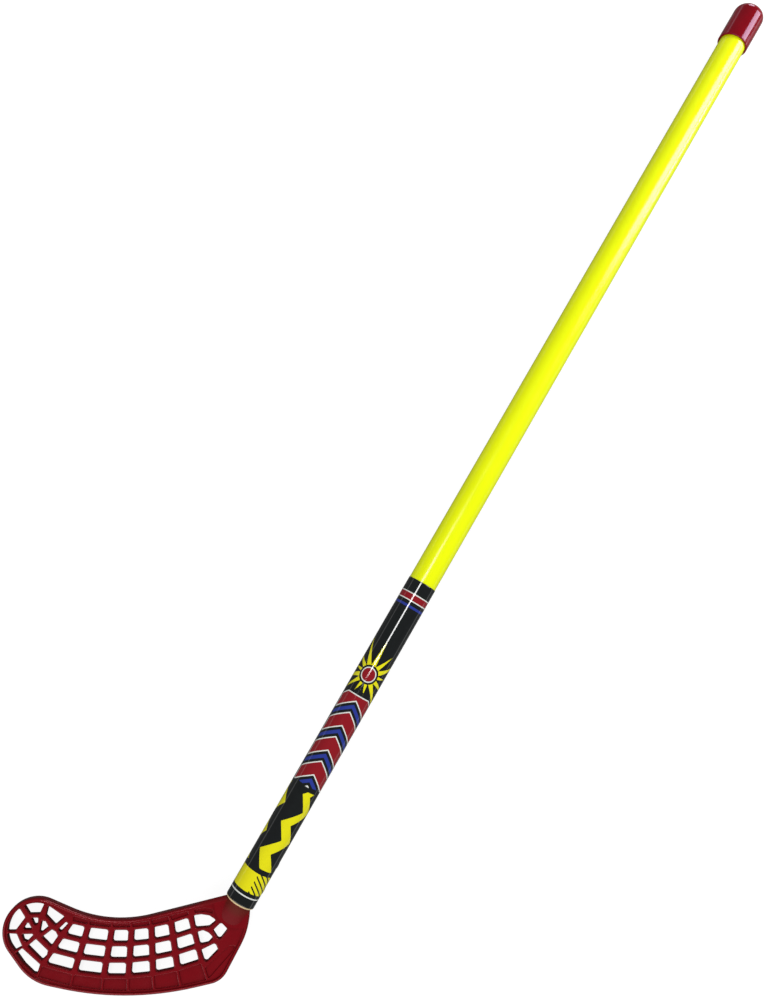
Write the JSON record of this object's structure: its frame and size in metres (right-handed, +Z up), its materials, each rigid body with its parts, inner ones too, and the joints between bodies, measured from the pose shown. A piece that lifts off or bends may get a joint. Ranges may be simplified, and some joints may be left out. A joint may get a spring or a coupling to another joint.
{
  "type": "floorball stick",
  "caption": "Straight round tubular stick with a flat openwork plastic blade at one end and a push-on cap at the other, for hitting a light ball on an indoor floor.",
  "frame": {"origin": "centre of the box's underside, where the stick lies on a floor", "axes": "+X along the shaft towards the end cap, +Z up, square to the floor the stick lies on"},
  "size_m": [1.0194, 0.1688, 0.0276],
  "materials": {
    "shaft_coat": "neon yellow gloss lacquer on a wound fibreglass tube",
    "blade_plastic": "moulded polypropylene, deep red, semi-gloss",
    "glue": "hot-melt glue",
    "screw_steel": "zinc-plated",
    "label_film": "printed film under a clear gloss layer",
    "cap_vinyl": "dipped soft vinyl, crimson, gloss"
  },
  "bodies": {
    "stick": {"shaft_tube": "shaft_coat", "blade": "blade_plastic", "tang_glue": "glue", "blade_screws": "screw_steel", "wrap_label": "label_film"},
    "cap": {"end_cap": "cap_vinyl"}
  },
  "joints": [
    {"name": "cap_slide", "type": "slide", "parent": "stick", "child": "cap", "axis": [1, 0, 0], "range_m": [0, 0.03]}
  ]
}
